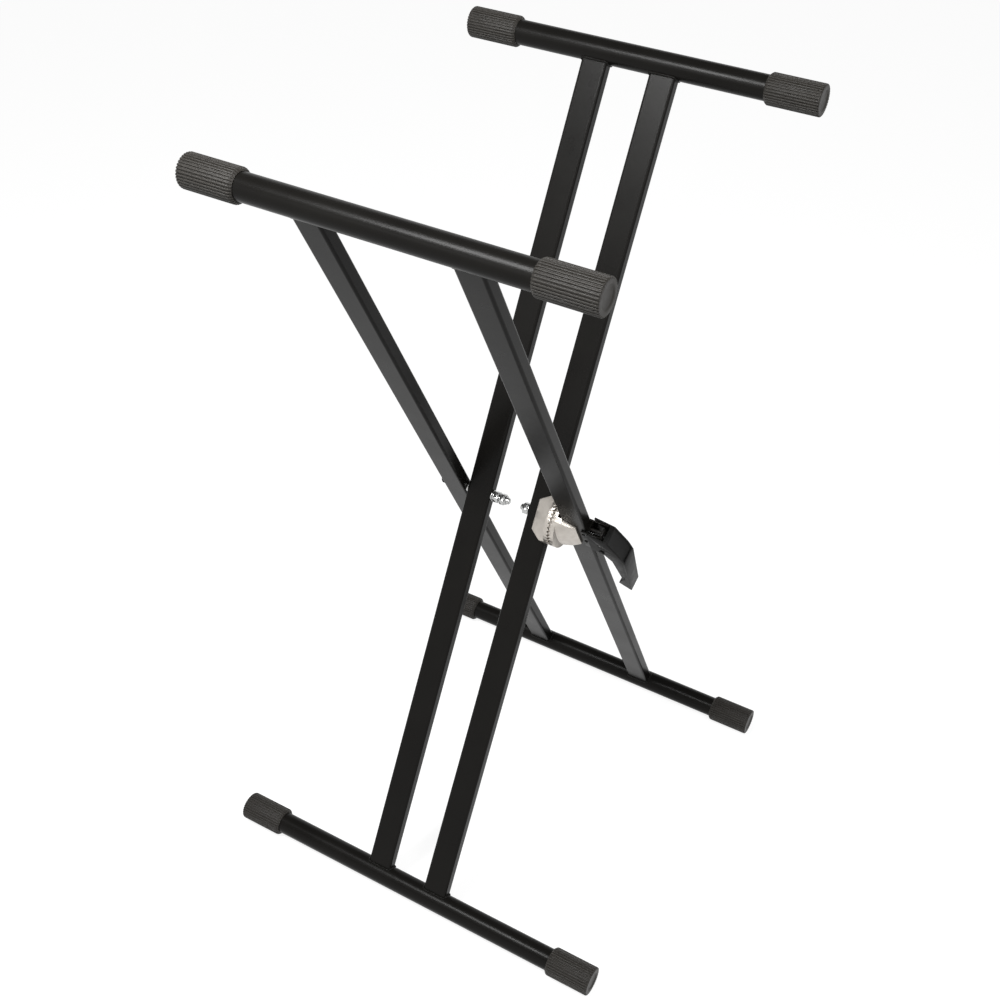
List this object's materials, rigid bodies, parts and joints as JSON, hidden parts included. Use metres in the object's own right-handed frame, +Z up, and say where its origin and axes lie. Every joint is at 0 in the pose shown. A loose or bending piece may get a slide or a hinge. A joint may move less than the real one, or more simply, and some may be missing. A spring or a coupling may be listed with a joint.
{
  "type": "folding keyboard stand",
  "caption": "Folding X stand for a musical keyboard: braced rectangular legs, round bars with ribbed grip caps, and a toothed pivot clutch freed by a squeeze lever.",
  "frame": {"origin": "centre of the footprint, on the floor below the middle of the stand", "axes": "+X along the bars to the release lever's side, +Z up, -Y towards the top bar of the outer frame, where the player sits"},
  "size_m": [0.537, 0.5444, 0.9829],
  "materials": {
    "coated_steel": "satin black powder coat",
    "rubber_caps": "matte black",
    "plated_steel": "bright zinc plate",
    "cast_metal": "light grey die casting",
    "black_plastic": "fine grain",
    "spring_steel": "bare"
  },
  "bodies": {
    "inner_frame": {"inner_foot_cap_left": "rubber_caps", "inner_foot_cap_right": "rubber_caps", "inner_foot_tube": "coated_steel", "inner_leg_left": "coated_steel", "inner_leg_right": "coated_steel", "inner_top_cap_left": "rubber_caps", "inner_top_cap_right": "rubber_caps", "inner_top_tube": "coated_steel", "inner_weld_beads": "coated_steel", "spacer_left": "plated_steel", "spacer_right": "plated_steel", "pivot_bolt_left": "plated_steel", "pivot_bolt_cap": "black_plastic", "gap_washer_left": "plated_steel", "nut_washer_left": "plated_steel", "spring_washer_left": "plated_steel", "pivot_nut_left": "plated_steel", "pivot_locknut_left": "plated_steel", "pivot_bolt_right": "plated_steel", "head_washer_right": "plated_steel", "nut_washer_right": "plated_steel", "pivot_nut_right": "plated_steel", "clutch_fixed_half": "cast_metal"},
    "outer_frame": {"outer_foot_cap_left": "rubber_caps", "outer_foot_cap_right": "rubber_caps", "outer_foot_tube": "coated_steel", "outer_leg_left": "coated_steel", "outer_leg_right": "coated_steel", "outer_top_cap_left": "rubber_caps", "outer_top_cap_right": "rubber_caps", "outer_top_tube": "coated_steel", "outer_weld_beads": "coated_steel", "bush_left": "plated_steel", "bush_right": "plated_steel", "lever_bracket": "coated_steel", "lever_pin": "plated_steel", "bracket_rivets": "plated_steel"},
    "clutch_slider": {"clutch_sliding_half": "cast_metal", "pull_rod_upper": "plated_steel", "pull_rod_lower": "plated_steel", "pull_yoke": "plated_steel", "clutch_spring": "spring_steel"},
    "lever": {"release_lever": "black_plastic"}
  },
  "joints": [
    {"name": "fold", "type": "hinge", "parent": "inner_frame", "child": "outer_frame", "pos_m": [0, 0, 0.4918], "axis": [1, 0, 0], "range_deg": [-52, 50]},
    {"name": "lever_squeeze", "type": "hinge", "parent": "outer_frame", "child": "lever", "pos_m": [0.1197, 0.00803, 0.47682], "axis": [0, 0.8814, 0.4724], "range_deg": [0, 10], "stiffness_Nm_per_rad": 1.2, "springref_deg": -8.59},
    {"name": "clutch_release", "type": "slide", "parent": "outer_frame", "child": "clutch_slider", "axis": [1, 0, 0], "range_m": [0, 0.003], "deforming": ["clutch_spring"]}
  ],
  "couplings": [
    {"joint": "clutch_release", "follows": "lever_squeeze", "m_per_rad": 0.017}
  ]
}
